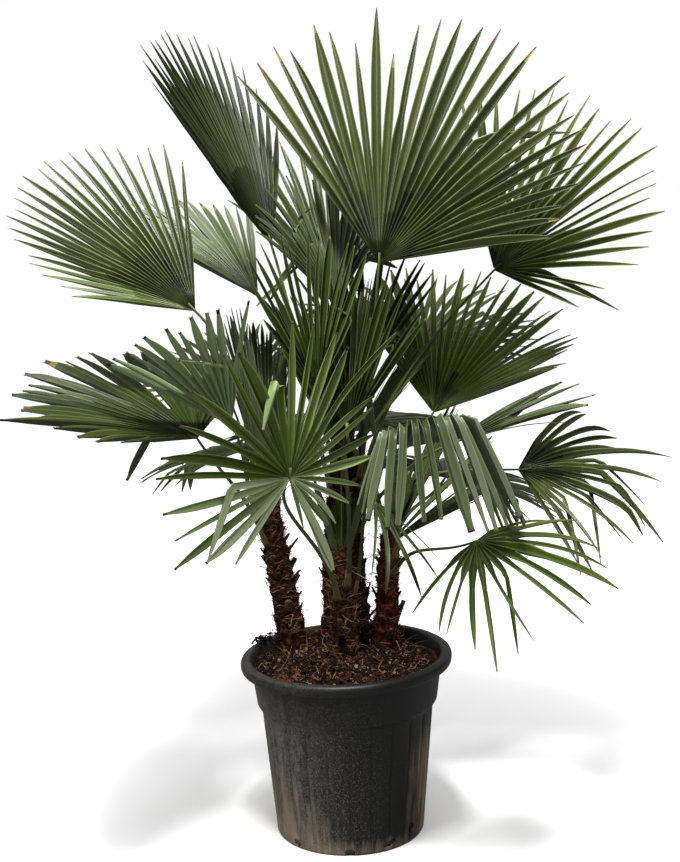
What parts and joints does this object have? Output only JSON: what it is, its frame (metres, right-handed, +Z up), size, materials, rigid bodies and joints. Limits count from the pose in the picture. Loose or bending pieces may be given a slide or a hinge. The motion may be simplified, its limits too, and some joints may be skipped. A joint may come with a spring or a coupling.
{
  "type": "windmill palm in a pot",
  "caption": "Multi-stemmed windmill palm with fibrous trunks and round, deeply split fan leaves on slender stalks, growing in a round dark nursery pot of bark.",
  "frame": {"origin": "centre of the pot's flat underside", "axes": "+Z up, -Y the side that faces the camera in the picture, +X to its right"},
  "size_m": [1.4702, 1.3332, 1.9489],
  "materials": {
    "pot": "satin, dusty",
    "soil": "rough, moist bark chips",
    "trunk": "rough, hairy fibre",
    "spear": "satin",
    "stalk": "satin",
    "leaf": "satin"
  },
  "bodies": {
    "root": {"pot": "pot", "soil": "soil", "trunk_main": "trunk", "trunk_left": "trunk", "trunk_front": "trunk", "trunk_right": "trunk", "heart_main": "spear", "heart_left": "spear", "heart_front": "spear", "heart_right": "spear", "stalk_top_centre": "stalk", "blade_top_centre": "leaf", "stalk_top_right": "stalk", "blade_top_right": "leaf", "stalk_top_left": "stalk", "blade_top_left": "leaf", "stalk_left": "stalk", "blade_left": "leaf", "stalk_left_behind": "stalk", "blade_left_behind": "leaf", "stalk_left_low": "stalk", "blade_left_low": "leaf", "stalk_left_mid": "stalk", "blade_left_mid": "leaf", "stalk_centre_low": "stalk", "blade_centre_low": "leaf", "stalk_right_mid": "stalk", "blade_right_mid": "leaf", "stalk_right_low": "stalk", "blade_right_low": "leaf", "stalk_right_far": "stalk", "blade_right_far": "leaf", "stalk_right_droop": "stalk", "blade_right_droop": "leaf", "stalk_right_up": "stalk", "blade_right_up": "leaf", "stalk_centre_up": "stalk", "blade_centre_up": "leaf", "stalk_centre_young": "stalk", "blade_centre_young": "leaf", "stalk_centre_blue": "stalk", "blade_centre_blue": "leaf", "stalk_centre_dark": "stalk", "blade_centre_dark": "leaf", "stalk_centre_tall": "stalk", "blade_centre_tall": "leaf", "stalk_front_hang": "stalk", "blade_front_hang": "leaf", "stalk_back_up": "stalk", "blade_back_up": "leaf", "stalk_back_right": "stalk", "blade_back_right": "leaf", "stalk_back_left": "stalk", "blade_back_left": "leaf", "stalk_back_low": "stalk", "blade_back_low": "leaf", "stalk_back_left_low": "stalk", "blade_back_left_low": "leaf", "stalk_back_right_low": "stalk", "blade_back_right_low": "leaf"}
  },
  "joints": []
}
